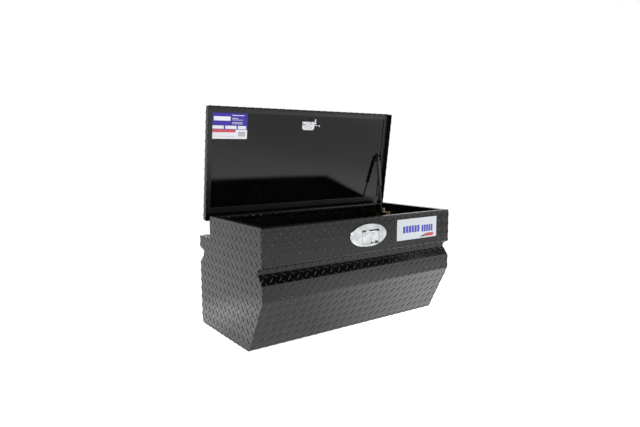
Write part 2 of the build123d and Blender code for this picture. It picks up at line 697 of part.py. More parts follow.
# Hook case: a folded bracket on the back of the tray with two pivot cheeks.
case_half = hook_half + 1.0
case_sheet = 2.0
with BuildPart() as hook_case:
    case_x = (bezel_x - case_half - case_sheet, bezel_x + case_half + case_sheet)
    block((case_x[0] - 12, case_x[1] + 2), (tray_back, tray_back + case_sheet), (pivot_z - 18, tray_top))
    for span in ((case_x[0], case_x[0] + case_sheet), (case_x[1] - case_sheet, case_x[1])):
        block(span, (tray_back + case_sheet, hook_pivot_y + 9), (hook_pivot_z - 9, hook_pivot_z + 9))
    cut = (case_x[0] - over, hook_pivot_y, hook_pivot_z)
    across = case_x[1] - case_x[0] + 2 * over
    bar(cut, (1, 0, 0), hook_pin_radius + 0.03, across, mode=Mode.SUBTRACT)
    cut = (bezel_x, tray_back - over, push_z)
    bar(cut, (0, 1, 0), push_radius + push_play, case_sheet + 2 * over, mode=Mode.SUBTRACT)
hook_case.part.label = "hook_case"
export_step(hook_case.part, "parts/hook_case.step")

with BuildPart() as hook_pin:
    head = 3.0
    clip = 1.5
    bar((case_x[0], hook_pivot_y, hook_pivot_z), (1, 0, 0), hook_pin_radius, case_x[1] - case_x[0] + clip)
    bar((case_x[0] - head, hook_pivot_y, hook_pivot_z), (1, 0, 0), hook_pin_radius + 2, head)
    bar((case_x[1], hook_pivot_y, hook_pivot_z), (1, 0, 0), hook_pin_radius + 1.2, clip)
hook_pin.part.label = "hook_pin"
export_step(hook_pin.part, "parts/hook_pin.step")

# The hook stands behind the striker; its nose reaches forward through the window.
sill = hinge_z - window_depth[1]             # height of the striker window's sill, lid shut
nose_tip = hinge_y - striker_front - 5.0
nose_under = sill + 0.6
nose_top = nose_under + 7.0
with BuildPart() as latch_hook:
    with BuildSketch(Plane.YZ.offset(bezel_x)):
        with BuildLine():
            Polyline(
                (stem_face, hook_pivot_z),
                (stem_face, nose_under),
                (nose_tip, nose_under),
                (nose_tip, nose_under + 2.0),
                (nose_tip + 7.0, nose_top),
                (hook_pivot_y + 3.0, nose_top),
                (hook_pivot_y + 5.0, hook_pivot_z),
                close=True,
            )
        make_face()
        with Locations((hook_pivot_y, hook_pivot_z)):
            Circle(7.0)
        with Locations((hook_pivot_y, hook_pivot_z)):
            Circle(hook_pin_radius + 0.06, mode=Mode.SUBTRACT)
    extrude(amount=hook_half / 2, both=True)
latch_hook.part.label = "latch_hook"
export_step(latch_hook.part, "parts/latch_hook.step")

with BuildPart() as hook_spring:
    with BuildLine() as hook_coil:
        coil_start = (bezel_x + hook_half / 2 + 0.8, hook_pivot_y, hook_pivot_z)
        Helix(spring_pitch, 1.5 * spring_pitch, 4.4, center=coil_start, direction=(1, 0, 0))
    with BuildSketch(Plane(hook_coil.line @ 0, z_dir=hook_coil.line % 0)):
        Circle(spring_wire)
    sweep(is_frenet=True)
hook_spring.part.label = "hook_spring"
export_step(hook_spring.part, "parts/hook_spring.step")

# ---------------------------------------------------------------- lock
lock_face = front + 3.0
plug_radius = 5.5
lock_length = 31.0
with BuildPart() as lock_body:
    bar((lock_x, lock_face, lock_z), (0, 1, 0), lock_radius, lock_length)
    flange_start = lock_face + 14
    bar((lock_x, flange_start, lock_z), (0, 1, 0), lock_radius + 1.2, tray_back - tray_sheet - flange_start)
    chamfer(lock_body.faces().sort_by(Axis.Y)[0].edges(), length=0.8)
    cut = (lock_x, lock_face - over, lock_z)
    bar(cut, (0, 1, 0), plug_radius + push_play, lock_length + 2 * over, mode=Mode.SUBTRACT)
lock_body.part.label = "lock_body"
export_step(lock_body.part, "parts/lock_body.step")

with BuildPart() as lock_nut:
    with BuildSketch(Plane.XZ.offset(-tray_back)):
        with Locations((lock_x, lock_z)):
            RegularPolygon(11.5, 6)
            Circle(lock_radius + hole_play, mode=Mode.SUBTRACT)
    extrude(amount=-4.0)
lock_nut.part.label = "lock_nut"
export_step(lock_nut.part, "parts/lock_nut.step")

plug_end = lock_face + lock_length + 1.0
plug_face = lock_face - 0.6
with BuildPart() as lock_plug:
    bar((lock_x, plug_face, lock_z), (0, 1, 0), plug_radius, plug_end - plug_face)
    keyway_x = (lock_x - 1.1, lock_x + 1.1)
    keyway_z = (lock_z - 3.6, lock_z + 3.6)
    block(keyway_x, (plug_face - over, lock_face + 6), keyway_z, mode=Mode.SUBTRACT)
lock_plug.part.label = "lock_plug"
export_step(lock_plug.part, "parts/lock_plug.step")

cam_sheet = 2.0
cam_screw_radius = 2.0
cam_width = 9.0
cam_reach = 22.0
with BuildPart() as lock_cam:
    with BuildSketch(Plane.XZ.offset(-plug_end)):
        with Locations((lock_x, lock_z)):
            Circle(7.5)
        with Locations((lock_x, lock_z - cam_reach / 2)):
            Rectangle(cam_width, cam_reach)
        with Locations((lock_x, lock_z)):
            Circle(cam_screw_radius + hole_play, mode=Mode.SUBTRACT)
    extrude(amount=-cam_sheet)
lock_cam.part.label = "lock_cam"
export_step(lock_cam.part, "parts/lock_cam.step")

with BuildPart() as cam_screw:
    head_start = plug_end + cam_sheet
    head_end = head_start + 2.6
    bar((lock_x, plug_end, lock_z), (0, 1, 0), cam_screw_radius, cam_sheet)
    bar((lock_x, head_start, lock_z), (0, 1, 0), cam_screw_radius + 1.8, head_end - head_start)
    slot_x = (lock_x - 3, lock_x + 3)
    slot_z = (lock_z - 0.5, lock_z + 0.5)
    block(slot_x, (head_end - 1.0, head_end + over), slot_z, mode=Mode.SUBTRACT)
cam_screw.part.label = "cam_screw"
export_step(cam_screw.part, "parts/cam_screw.step")

# ================================================================ labels
label_sheet = 0.4
front_label_x = (157.0, 387.0)
front_label_z = (350.0, 436.0)
lid_label_x = (-444.5, -293.5)
lid_label_along = (318.6, 420.1)
with BuildPart() as front_label:
    block(front_label_x, (front - label_sheet, front), front_label_z)
front_label.part.label = "front_label"
export_step(front_label.part, "parts/front_label.step")

with BuildPart(lid_plane) as lid_label:
    block(lid_label_x, lid_label_along, (lid_inner, lid_inner + label_sheet))
lid_label.part.label = "lid_label"
export_step(lid_label.part, "parts/lid_label.step")
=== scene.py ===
import json
from math import atan2, cos, pi, radians, sin, tan

import bmesh
import bpy
import numpy as np
from mathutils import Matrix, Vector


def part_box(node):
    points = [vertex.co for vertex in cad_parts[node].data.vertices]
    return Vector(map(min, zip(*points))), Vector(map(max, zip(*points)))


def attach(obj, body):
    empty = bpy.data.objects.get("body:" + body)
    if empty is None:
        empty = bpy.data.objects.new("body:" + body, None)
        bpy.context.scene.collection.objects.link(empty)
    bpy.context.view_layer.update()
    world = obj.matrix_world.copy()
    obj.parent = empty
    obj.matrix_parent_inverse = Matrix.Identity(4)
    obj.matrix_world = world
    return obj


# Truck tool box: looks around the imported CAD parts. Metres, +X right, +Y rear, +Z up.
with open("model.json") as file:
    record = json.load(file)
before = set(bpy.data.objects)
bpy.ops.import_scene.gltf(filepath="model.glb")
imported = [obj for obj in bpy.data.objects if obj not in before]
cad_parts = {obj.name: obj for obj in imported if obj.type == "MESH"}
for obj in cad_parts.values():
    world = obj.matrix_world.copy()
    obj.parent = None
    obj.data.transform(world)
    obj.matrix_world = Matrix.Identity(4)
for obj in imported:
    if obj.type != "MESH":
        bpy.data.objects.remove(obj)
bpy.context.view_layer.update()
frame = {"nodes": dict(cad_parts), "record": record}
nodes = frame["nodes"]

# ---------------------------------------------------------------- places, from the frame
shell_low, shell_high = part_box("body_wrap")
left_low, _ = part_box("left_end_panel")
_, right_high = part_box("right_end_panel")
LEFT, RIGHT = left_low.x, right_high.x
FRONT, REAR = shell_low.y, shell_high.y
RIM = shell_high.z
pin_low, pin_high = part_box("hinge_pin")
HINGE = (pin_low + pin_high) / 2
LID_TILT = radians(7.74)     # how far the open lid leans to the front
LID_ALONG = Vector((0, -sin(LID_TILT), cos(LID_TILT)))
LID_INWARD = Vector((0, -cos(LID_TILT), -sin(LID_TILT)))

# Section of the bent shell, as the CAD has it.
BACK_WALL = FRONT + 0.415
LEDGE = 0.369
SLANT_TOP = 0.2015
SLANT_SETBACK = 0.103
GROOVE_DEPTH = 0.028
REAR_GROOVE_DEPTH = 0.036
GROOVE_LIP = 0.3206
REAR_LIP = 0.323
GROOVE_TOP = 0.311
GROOVE_FLOOR = 0.294
GROOVE_END = 0.260
RIM_FLANGE = 0.022
RIM_RETURN = 0.012
BEND = 0.004
BOTTOM_BEND = 0.012
BEND_STEPS = 8               # flat stretches round a bend
FRONT_SKIP, REAR_SKIP = 6, 2    # points in the rim's turned-down edges, front and rear

# Lid, in its own plane: x across, along from the hinge to the front edge, inward from the axis.
LID_HALF = 0.4735
LID_REAR = -0.0062
LID_FRONT = 0.4448
LID_TOP = -0.0206
LID_EDGE = 0.0036
LID_INNER = -0.0186
RIVET_PITCH = 0.082          # rivets of the lid's rear edge, one of them at x = 0
RIVET_INWARD = -0.010

# Tread pattern: bars at 45 degrees, every other one turned the other way.
TREAD_PITCH = 0.0366
LUG_LENGTH = 0.028
LUG_WIDTH = 0.0068
LUG_HEIGHT = 0.0016
LUG_ROOT = 0.0003            # how far a lug starts inside the plate
SEALED_SHARE = 0.15          # share of a lug's height that is left under the seal,
SEALED_DROP = 0.0012         # down to this far below the rim
ON_WALL = 0.001              # points this near a wall's face count as on it
LABEL_CLEAR = 0.001          # gaps from the lugs to what is mounted on the plate
HINGE_CLEAR = 0.001
BEZEL_CLEAR = 0.002
BRACKET_CLEAR = 0.002
RIVET_CLEAR = 0.0045
ACROSS_INSET = 0.0005        # lugs stop this far from the shell's two ends
UNDERSIDE = 0.03             # stretch of the underside in the two sections, left bare
LOWEST_LUG = 0.012           # lugs that end below this height are left out
END_SHARE = 0.35             # an end panel's lug stays if this much of it is on the panel

# Studio: a glowing floor with painted pools of light and painted shade far to the right, white walls and
# a dark ceiling.
FLOOR_HALF = 12.0
FLOOR_GLOW = 0.82
PAINTED_LIGHT_POOLS = (                    # painted light pools on the floor: centre, added glow, (start, end) of the fall-off
    ((0.55, -0.45, 0), 1.4, (0.15, 0.75)),
    ((-0.64, 0.30, 0), 1.0, (0.02, 0.30)),
    ((-0.62, -0.02, 0), 0.8, (0.02, 0.14)),
)
PAINTED_SHADE_CENTRE = (2.6, -3.4, 0)         # centre of painted shade: the floor far to the right glows less
PAINTED_SHADE_GLOW = 0.52
PAINTED_SHADE_REACH = (0.8, 3.2)
WALL_TOP = 0.37              # sine of the elevation where the white walls end
CEILING = 0.58               # and of where the dark ceiling starts
CEILING_LIGHT = 0.012

NOISE_LOW, NOISE_HIGH = 0.3, 0.7    # noise values lie mostly between these


# ================================================================ material helpers
def new_material(name, roughness, metallic=0.0, ior=1.5):
    """A node material, its Principled shader, its node tree and object coordinates."""
    material = bpy.data.materials.new(name)
    material.use_nodes = True
    tree = material.node_tree
    shader = next(n for n in tree.nodes if n.type == "BSDF_PRINCIPLED")
    shader.inputs["Roughness"].default_value = roughness
    shader.inputs["Metallic"].default_value = metallic
    shader.inputs["IOR"].default_value = ior
    place = tree.nodes.new("ShaderNodeTexCoord").outputs["Object"]
    return material, shader, tree, place


def noise(tree, place, scale, detail=3.0, stretch=(1, 1, 1)):
    """Noise of so many cells per metre, stretched along the axes."""
    mapping = tree.nodes.new("ShaderNodeMapping")
    mapping.inputs["Scale"].default_value = stretch
    tree.links.new(place, mapping.inputs["Vector"])
    texture = tree.nodes.new("ShaderNodeTexNoise")
    texture.inputs["Scale"].default_value = scale
    texture.inputs["Detail"].default_value = detail
    tree.links.new(mapping.outputs["Vector"], texture.inputs["Vector"])
    return texture.outputs["Fac"]


def spread(tree, value, low, high, start=NOISE_LOW, end=NOISE_HIGH):
    """A value that goes from start to end, stretched onto low to high and held there."""
    node = tree.nodes.new("ShaderNodeMapRange")
    for key, number in (("From Min", start), ("From Max", end), ("To Min", low), ("To Max", high)):
        node.inputs[key].default_value = number
    tree.links.new(value, node.inputs["Value"])
    return node.outputs["Result"]


def tint(tree, value, dark, light, socket):
    """Colours a shader socket from dark to light by a value."""
    ramp = tree.nodes.new("ShaderNodeValToRGB")
    ramp.color_ramp.elements[0].position = NOISE_LOW
    ramp.color_ramp.elements[0].color = (*dark, 1)
    ramp.color_ramp.elements[1].position = NOISE_HIGH
    ramp.color_ramp.elements[1].color = (*light, 1)
    tree.links.new(value, ramp.inputs["Fac"])
    tree.links.new(ramp.outputs["Color"], socket)


def bump(tree, shader, layers):
    """Stacks (height value, depth in metres) layers into the shader's normal."""
    normal = None
    for value, depth in layers:
        node = tree.nodes.new("ShaderNodeBump")
        node.inputs["Strength"].default_value = 1.0
        node.inputs["Distance"].default_value = depth
        tree.links.new(value, node.inputs["Height"])
        if normal is not None:
            tree.links.new(normal, node.inputs["Normal"])
        normal = node.outputs["Normal"]
    tree.links.new(normal, shader.inputs["Normal"])


# ================================================================ materials
def powder_coat(name, low, high, wave):
    """Gloss black powder coat: fine orange peel over plate that isn't quite flat."""
    material, shader, tree, place = new_material(name, roughness=low, ior=1.46)
    dark, light = (0.0016, 0.0015, 0.0018), (0.0030, 0.0029, 0.0034)
    tint(tree, noise(tree, place, 9), dark, light, shader.inputs["Base Color"])
    patches = noise(tree, place, 14, detail=6)
    tree.links.new(spread(tree, patches, low, high), shader.inputs["Roughness"])
    bump(tree, shader, [(noise(tree, place, 5, detail=1), wave), (noise(tree, place, 420), 0.00006)])
    return material


def rubber():
    """Smooth-skinned black sponge rubber."""
    material, shader, tree, place = new_material("sponge_rubber", roughness=0.34)
    dark, light = (0.0015, 0.0015, 0.0015), (0.003, 0.003, 0.003)
    tint(tree, noise(tree, place, 60), dark, light, shader.inputs["Base Color"])
    bump(tree, shader, [(noise(tree, place, 1500), 0.00015)])
    return material


def plastic(name, colour, roughness):
    """Plastic or satin lacquer with a fine grain."""
    material, shader, tree, place = new_material(name, roughness=roughness)
    light = [c * 1.5 + 0.004 for c in colour]
    tint(tree, noise(tree, place, 90), colour, light, shader.inputs["Base Color"])
    satin = spread(tree, noise(tree, place, 300), roughness - 0.06, roughness + 0.08)
    tree.links.new(satin, shader.inputs["Roughness"])
    bump(tree, shader, [(noise(tree, place, 1800), 0.00004)])
    return material


def metal(name, dark, light, low, high, stretch=(1, 1, 1), grain=900, metallic=1.0):
    """Bare or plated metal with a grain that may run along an axis."""
    material, shader, tree, place = new_material(name, roughness=low, metallic=metallic)
    tint(tree, noise(tree, place, 35, detail=5), dark, light, shader.inputs["Base Color"])
    lines = noise(tree, place, grain, detail=4, stretch=stretch)
    tree.links.new(spread(tree, lines, low, high), shader.inputs["Roughness"])
    bump(tree, shader, [(lines, 0.00001)])
    return material


def vinyl(name, colour, roughness=0.32):
    """Printed film with a faint ripple."""
    material, shader, tree, place = new_material(name, roughness=roughness)
    dim = [c * 0.93 for c in colour]
    tint(tree, noise(tree, place, 40), dim, colour, shader.inputs["Base Color"])
    bump(tree, shader, [(noise(tree, place, 45), 0.00012)])
    return material


def glow_near(tree, place, centre, near, far, reach):
    """A value that goes from near to far over a (start, end) distance from a centre."""
    distance = tree.nodes.new("ShaderNodeVectorMath")
    distance.operation = "DISTANCE"
    distance.inputs[1].default_value = centre
    tree.links.new(place, distance.inputs[0])
    return spread(tree, distance.outputs["Value"], near, far, *reach)


def floor_with_painted_light():
    """Pale floor that glows, with painted light pools beside the box and painted shade far to the right.
    """
    material, shader, tree, place = new_material("pale_floor", roughness=0.9)
    tint(tree, noise(tree, place, 3), (0.90, 0.90, 0.90), (0.93, 0.93, 0.93), shader.inputs["Base Color"])
    shader.inputs["Emission Color"].default_value = (1.0, 1.0, 1.0, 1)
    # painted shade: the glow drops far to the right
    glow = glow_near(tree, place, PAINTED_SHADE_CENTRE, PAINTED_SHADE_GLOW, FLOOR_GLOW, PAINTED_SHADE_REACH)
    # each pool adds painted light to the glow, standing in for a lamp lighting the floor
    for centre, light, reach in PAINTED_LIGHT_POOLS:
        total = tree.nodes.new("ShaderNodeMath")
        total.operation = "ADD"
        tree.links.new(glow, total.inputs[0])
        tree.links.new(glow_near(tree, place, centre, light, 0.0, reach), total.inputs[1])
        glow = total.outputs["Value"]
    tree.links.new(glow, shader.inputs["Emission Strength"])
    return material


tread_coat = powder_coat("powder_coat_tread", 0.12, 0.24, 0.0012)
smooth_coat = powder_coat("powder_coat_smooth", 0.045, 0.075, 0.0006)
seal_rubber = rubber()
hinge_coat = plastic("black_hinge_coat", (0.006, 0.006, 0.007), 0.38)
strut_coat = plastic("black_strut_lacquer", (0.004, 0.004, 0.005), 0.3)
nylon = plastic("black_nylon", (0.008, 0.008, 0.008), 0.5)
stainless = metal("polished_stainless", (0.50, 0.52, 0.53), (0.76, 0.78, 0.79), 0.12, 0.24, (0.03, 1, 1))
zinc = metal("bright_zinc", (0.62, 0.63, 0.65), (0.80, 0.81, 0.83), 0.22, 0.38)
yellow_zinc = metal("yellow_zinc", (0.70, 0.55, 0.20), (0.92, 0.82, 0.50), 0.35, 0.5, metallic=0.4)
pin_steel = metal("pin_steel", (0.45, 0.45, 0.46), (0.62, 0.62, 0.63), 0.25, 0.4, (0.05, 1, 1))
dark_rivet = metal("dark_anodised", (0.02, 0.02, 0.022), (0.05, 0.05, 0.055), 0.3, 0.45)
nitride = metal("nitrided_rod", (0.03, 0.03, 0.032), (0.06, 0.06, 0.064), 0.15, 0.25)
chrome = metal("lock_chrome", (0.80, 0.80, 0.82), (0.92, 0.92, 0.93), 0.06, 0.14)
spring_steel = metal("spring_steel", (0.40, 0.40, 0.41), (0.58, 0.58, 0.59), 0.3, 0.42)
white_vinyl = vinyl("white_vinyl", (0.52, 0.55, 0.59))
grey_print = vinyl("grey_print", (0.50, 0.54, 0.62))
blue_print = vinyl("blue_print", (0.055, 0.055, 0.36))
red_print = vinyl("red_print", (0.45, 0.045, 0.035))
dark_print = vinyl("dark_print", (0.03, 0.03, 0.04))
lid_vinyl = vinyl("lid_vinyl", (0.80, 0.81, 0.86))
violet_print = vinyl("violet_print", (0.035, 0.014, 0.34))
rose_print = vinyl("rose_print", (0.60, 0.08, 0.10))

finish_of = {
    "shell": tread_coat,
    "lid_plate": smooth_coat,
    "seal": seal_rubber,
    "hinge": hinge_coat,
    "hinge_pin": pin_steel,
    "rivets": dark_rivet,
    "stainless": stainless,
    "zinc": zinc,
    "yellow_zinc": yellow_zinc,
    "strut_black": strut_coat,
    "strut_rod": nitride,
    "socket": nylon,
    "lock": chrome,
    "spring": spring_steel,
    "front_label": white_vinyl,
    "lid_label": lid_vinyl,
}
for subpart in frame["record"]["subparts"]:
    mesh = nodes[subpart["node"]].data
    mesh.materials.clear()
    mesh.materials.append(finish_of[subpart["material_slot"]])


# ================================================================ tread lugs
def lug_rows():
    """One lug along u: rings of (u, v, height) from its root up to a flat crest."""
    steps = 12
    rings = (
        (1.0, 1.0, -LUG_ROOT),
        (0.96, 0.84, 0.5 * LUG_HEIGHT),
        (0.86, 0.50, 0.88 * LUG_HEIGHT),
        (0.66, 0.18, LUG_HEIGHT),
    )
    rows = []
    for length_share, width_share, height in rings:
        for i in range(steps):
            turn = 2 * pi * i / steps
            u = 0.5 * LUG_LENGTH * length_share * cos(turn)
            v = 0.5 * LUG_WIDTH * width_share * sin(turn) * abs(sin(turn)) ** 0.5
            rows.append((u, v, height))
    faces = []
    for ring in range(len(rings) - 1):
        for i in range(steps):
            j = (i + 1) % steps
            low, high = ring * steps, (ring + 1) * steps
            faces.append((low + i, low + j, high + j, high + i))
    faces.append(tuple(range((len(rings) - 1) * steps, len(rings) * steps)))
    return np.array(rows), faces


LUG, LUG_FACES = lug_rows()


def lug_centres(u_span, v_span):
    """Centre and turn of each lug on a plate of the given spans, with the pattern from 0, 0."""
    half = TREAD_PITCH / 2
    for i in range(int(u_span[0] // half) - 1, int(u_span[1] // half) + 2):
        for j in range(int(v_span[0] // half) - 1, int(v_span[1] // half) + 2):
            if (i + j) % 2 == 0:
                yield i * half, j * half, radians(45 if i % 2 == 0 else -45)


def tread(name, u_span, v_span, surface, body, keep):
    """A tread of lugs laid over a surface, where surface(u, v) gives points, outward normals and
    shares of the lug's height, and keep(u, v) is true for a lug that stays."""
    points, faces = [], []
    for cu, cv, turn in lug_centres(u_span, v_span):
        u = cu + LUG[:, 0] * cos(turn) - LUG[:, 1] * sin(turn)
        v = cv + LUG[:, 0] * sin(turn) + LUG[:, 1] * cos(turn)
        if u.max() < u_span[0] or u.min() > u_span[1] or v.max() < v_span[0] or v.min() > v_span[1]:
            continue
        u = np.clip(u, *u_span)
        v = np.clip(v, *v_span)
        if np.ptp(u) < LUG_WIDTH or np.ptp(v) < LUG_WIDTH or not keep(u, v):
            continue
        place, normal, share = surface(u, v)
        height = np.where(LUG[:, 2] > 0, LUG[:, 2] * share, LUG[:, 2])
        start = len(points)
        points.extend(place + normal * height[:, None])
        faces.extend(tuple(start + k for k in face) for face in LUG_FACES)
    mesh = bpy.data.meshes.new(name)
    mesh.from_pydata([tuple(p) for p in points], [], faces)
    mesh.materials.append(tread_coat)
    mesh.shade_smooth()
    mesh.validate()
    lugs = bpy.data.objects.new(name, mesh)
    bpy.context.scene.collection.objects.link(lugs)
    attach(lugs, body)


def rounded_profile(corners, radii):
    """Distance, point and outward normal along a bent section, its inner corners rounded."""
    corners = [np.array(c, float) for c in corners]
    places, normals = [corners[0]], []
    for before, corner, after, radius in zip(corners, corners[1:], corners[2:], radii):
        first = (corner - before) / np.linalg.norm(corner - before)
        second = (after - corner) / np.linalg.norm(after - corner)
        turn = atan2(first[0] * second[1] - first[1] * second[0], first @ second)
        side = np.sign(turn)
        normal = np.array([first[1], -first[0]])
        reach = radius * tan(abs(turn) / 2)
        centre = corner - first * reach - normal * side * radius
        if not normals:
            normals.append(normal)
        for k in range(BEND_STEPS + 1):
            angle = turn * k / BEND_STEPS
            turned_first = normal[0] * cos(angle) - normal[1] * sin(angle)
            turned_second = normal[0] * sin(angle) + normal[1] * cos(angle)
            rotated = np.array([turned_first, turned_second])
            places.append(centre + rotated * side * radius)
            normals.append(rotated)
    places.append(corners[-1])
    normals.append(normals[-1])
    places, normals = np.array(places), np.array(normals)
    distance = np.concatenate([[0], np.cumsum(np.linalg.norm(np.diff(places, axis=0), axis=1))])
    return distance, places, normals


def section_surface(profile):
    """Surface of a bent section in the YZ plane, drawn out along X. Its lugs are low at the rim."""
    distance, places, normals = profile

    def surface(u, v):
        y, z = (np.interp(v, distance, places[:, i]) for i in (0, 1))
        ny, nz = (np.interp(v, distance, normals[:, i]) for i in (0, 1))
        length = np.hypot(ny, nz)
        place = np.column_stack([u, y, z])
        normal = np.column_stack([np.zeros_like(u), ny / length, nz / length])
        share = np.where(z > RIM - SEALED_DROP, SEALED_SHARE, 1.0)
        return place, normal, share

    return surface


def near_box(a, b, a_span, b_span, gap):
    """Which points lie within a gap of a rectangle."""
    in_a = (a > a_span[0] - gap) & (a < a_span[1] + gap)
    in_b = (b > b_span[0] - gap) & (b < b_span[1] + gap)
    return in_a & in_b


def clear_of_latch(x, z):
    """True if no point is under the latch bezel or the front label."""
    low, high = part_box("latch_bezel")
    middle = (low + high) / 2
    half_x = (high.x - low.x) / 2 + BEZEL_CLEAR
    half_z = (high.z - low.z) / 2 + BEZEL_CLEAR
    in_bezel = ((x - middle.x) / half_x) ** 2 + ((z - middle.z) / half_z) ** 2 < 1
    low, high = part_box("front_label")
    in_label = near_box(x, z, (low.x, high.x), (low.z, high.z), LABEL_CLEAR)
    return not (in_bezel | in_label).any()


front_corners = [
    (FRONT + RIM_FLANGE, RIM - RIM_RETURN),
    (FRONT + RIM_FLANGE, RIM),
    (FRONT, RIM),
    (FRONT, GROOVE_LIP),
    (FRONT + GROOVE_DEPTH, GROOVE_TOP),
    (FRONT + GROOVE_DEPTH, GROOVE_FLOOR),
    (FRONT, GROOVE_END),
    (FRONT, SLANT_TOP),
    (FRONT + SLANT_SETBACK, 0),
    (FRONT + SLANT_SETBACK + UNDERSIDE, 0),
]
rear_corners = [
    (REAR - UNDERSIDE, 0),
    (REAR, 0),
    (REAR, GROOVE_END),
    (REAR - REAR_GROOVE_DEPTH, GROOVE_FLOOR),
    (REAR - REAR_GROOVE_DEPTH, GROOVE_TOP),
    (REAR, REAR_LIP),
    (REAR, LEDGE),
    (BACK_WALL, LEDGE),
    (BACK_WALL, RIM),
    (BACK_WALL - RIM_FLANGE, RIM),
    (BACK_WALL - RIM_FLANGE, RIM - RIM_RETURN),
]
front_profile = rounded_profile(front_corners, [BEND] * 7 + [BOTTOM_BEND])
rear_profile = rounded_profile(rear_corners, [BOTTOM_BEND] + [BEND] * 8)
front_surface = section_surface(front_profile)
rear_surface = section_surface(rear_profile)
leaf_low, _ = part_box("hinge_body_leaf")


def keep_front(u, v):
    """True for a front lug that is neither on the underside nor under the bezel or the label."""
    place, _, _ = front_surface(u, v)
    if place[:, 2].max() < LOWEST_LUG:
        return False
    on_band = place[:, 1].max() < FRONT + ON_WALL
    return not on_band or clear_of_latch(place[:, 0], place[:, 2])


def keep_rear(u, v):
    """True for a rear lug that is neither on the underside nor under the hinge leaf."""
    place, _, _ = rear_surface(u, v)
    if place[:, 2].max() < LOWEST_LUG:
        return False
    as_high_as_leaf = place[:, 2] > leaf_low.z - HINGE_CLEAR
    on_back_wall = place[:, 1] > BACK_WALL - ON_WALL
    return not (as_high_as_leaf & on_back_wall).any()


ACROSS = (LEFT + ACROSS_INSET, RIGHT - ACROSS_INSET)
front_run = (0.0, front_profile[0][-1] - UNDERSIDE)
rear_run = (UNDERSIDE, rear_profile[0][-1])
tread("tread_front", ACROSS, front_run, front_surface, "body", keep_front)
tread("tread_rear", ACROSS, rear_run, rear_surface, "body", keep_rear)


def end_outline():
    """Outline of the end panels: the bent section without the turned-down edges of its rim."""
    _, front_points, _ = front_profile
    _, rear_points, _ = rear_profile
    return np.vstack([front_points[FRONT_SKIP:], rear_points[:-REAR_SKIP]])


def inside(outline, y, z):
    """Which points lie inside a closed outline."""
    hit = np.zeros(len(y), bool)
    for (y0, z0), (y1, z1) in zip(outline, np.roll(outline, -1, axis=0)):
        crosses = (z0 > z) != (z1 > z)
        with np.errstate(divide="ignore", invalid="ignore"):
            at = y0 + (z - z0) * (y1 - y0) / (z1 - z0)
        hit ^= crosses & (y < at)
    return hit


def onto_outline(outline, y, z):
    """Points outside the outline are moved to its nearest point."""
    tiny = 1e-12    # stands in for a squared length of zero when dividing
    outside = ~inside(outline, y, z)
    points = np.column_stack([y, z])
    nearest = points.copy()
    best = np.full(len(y), np.inf)
    for a, b in zip(outline, np.roll(outline, -1, axis=0)):
        span = b - a
        share = np.clip(((points - a) @ span) / max(span @ span, tiny), 0, 1)
        foot = a + share[:, None] * span
        gap = np.linalg.norm(points - foot, axis=1)
        closer = outside & (gap < best)
        nearest[closer] = foot[closer]
        best[closer] = gap[closer]
    return nearest[:, 0], nearest[:, 1]


OUTLINE = end_outline()


def end_surface(x, side):
    """Surface of an end panel at x, where lugs that cross the outline are cut back to it."""

    def surface(u, v):
        y, z = onto_outline(OUTLINE, u, v)
        place = np.column_stack([np.full_like(y, x), y, z])
        normal = np.tile([side, 0.0, 0.0], (len(y), 1))
        return place, normal, np.ones_like(y)

    return surface


def keep_end(u, v):
    """True for a lug with enough of its points on the end panel."""
    return inside(OUTLINE, u, v).mean() > END_SHARE


def keep_right_end(u, v):
    """Like keep_end, but also clear of the rivets of the strut's bracket."""
    low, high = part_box("strut_bracket_rivets")
    on_rivet = near_box(u, v, (low.y, high.y), (low.z, high.z), BRACKET_CLEAR)
    return keep_end(u, v) and not on_rivet.any()


end_across, end_up = (FRONT, REAR), (0.0, RIM)
left_face, right_face = end_surface(LEFT, -1.0), end_surface(RIGHT, 1.0)
tread("tread_left_end", end_across, end_up, left_face, "body", keep_end)
tread("tread_right_end", end_across, end_up, right_face, "body", keep_right_end)


# ---------------------------------------------------------------- lid tread
def lid_points(x, along, inward):
    """World points from places in the lid's own plane."""
    base = np.array(HINGE)
    base[0] = 0.0
    along_axis, inward_axis = np.array(LID_ALONG), np.array(LID_INWARD)
    return base + np.outer(x, [1, 0, 0]) + np.outer(along, along_axis) + np.outer(inward, inward_axis)


lid_corners = [(-LID_HALF, LID_EDGE), (-LID_HALF, LID_TOP), (LID_HALF, LID_TOP), (LID_HALF, LID_EDGE)]
lid_profile = rounded_profile(lid_corners, [BEND, BEND])


def lid_face(u, v):
    """The lid's outer face and its two side flanges."""
    distance, places, normals = lid_profile
    x, inward = (np.interp(u, distance, places[:, i]) for i in (0, 1))
    nx, n_inward = (np.interp(u, distance, normals[:, i]) for i in (0, 1))
    normal = np.outer(nx, [1, 0, 0]) + np.outer(n_inward, np.array(LID_INWARD))
    normal /= np.linalg.norm(normal, axis=1)[:, None]
    return lid_points(x, v, inward), normal, np.ones_like(u)


def lid_flange(along, direction):
    """Outer face of the lid's turned-down front or rear side."""

    def surface(u, v):
        normal = np.tile(np.array(LID_ALONG) * direction, (len(u), 1))
        return lid_points(u, np.full_like(u, along), v), normal, np.ones_like(u)

    return surface


def keep_all(u, v):
    """True for every lug."""
    return True


def clear_of_rivets(u, v):
    """True if the points of a lug on the lid's rear edge miss its rivets."""
    sideways = np.abs(u - RIVET_PITCH * np.round(u / RIVET_PITCH)) < RIVET_CLEAR
    return not (sideways & (np.abs(v - RIVET_INWARD) < RIVET_CLEAR)).any()


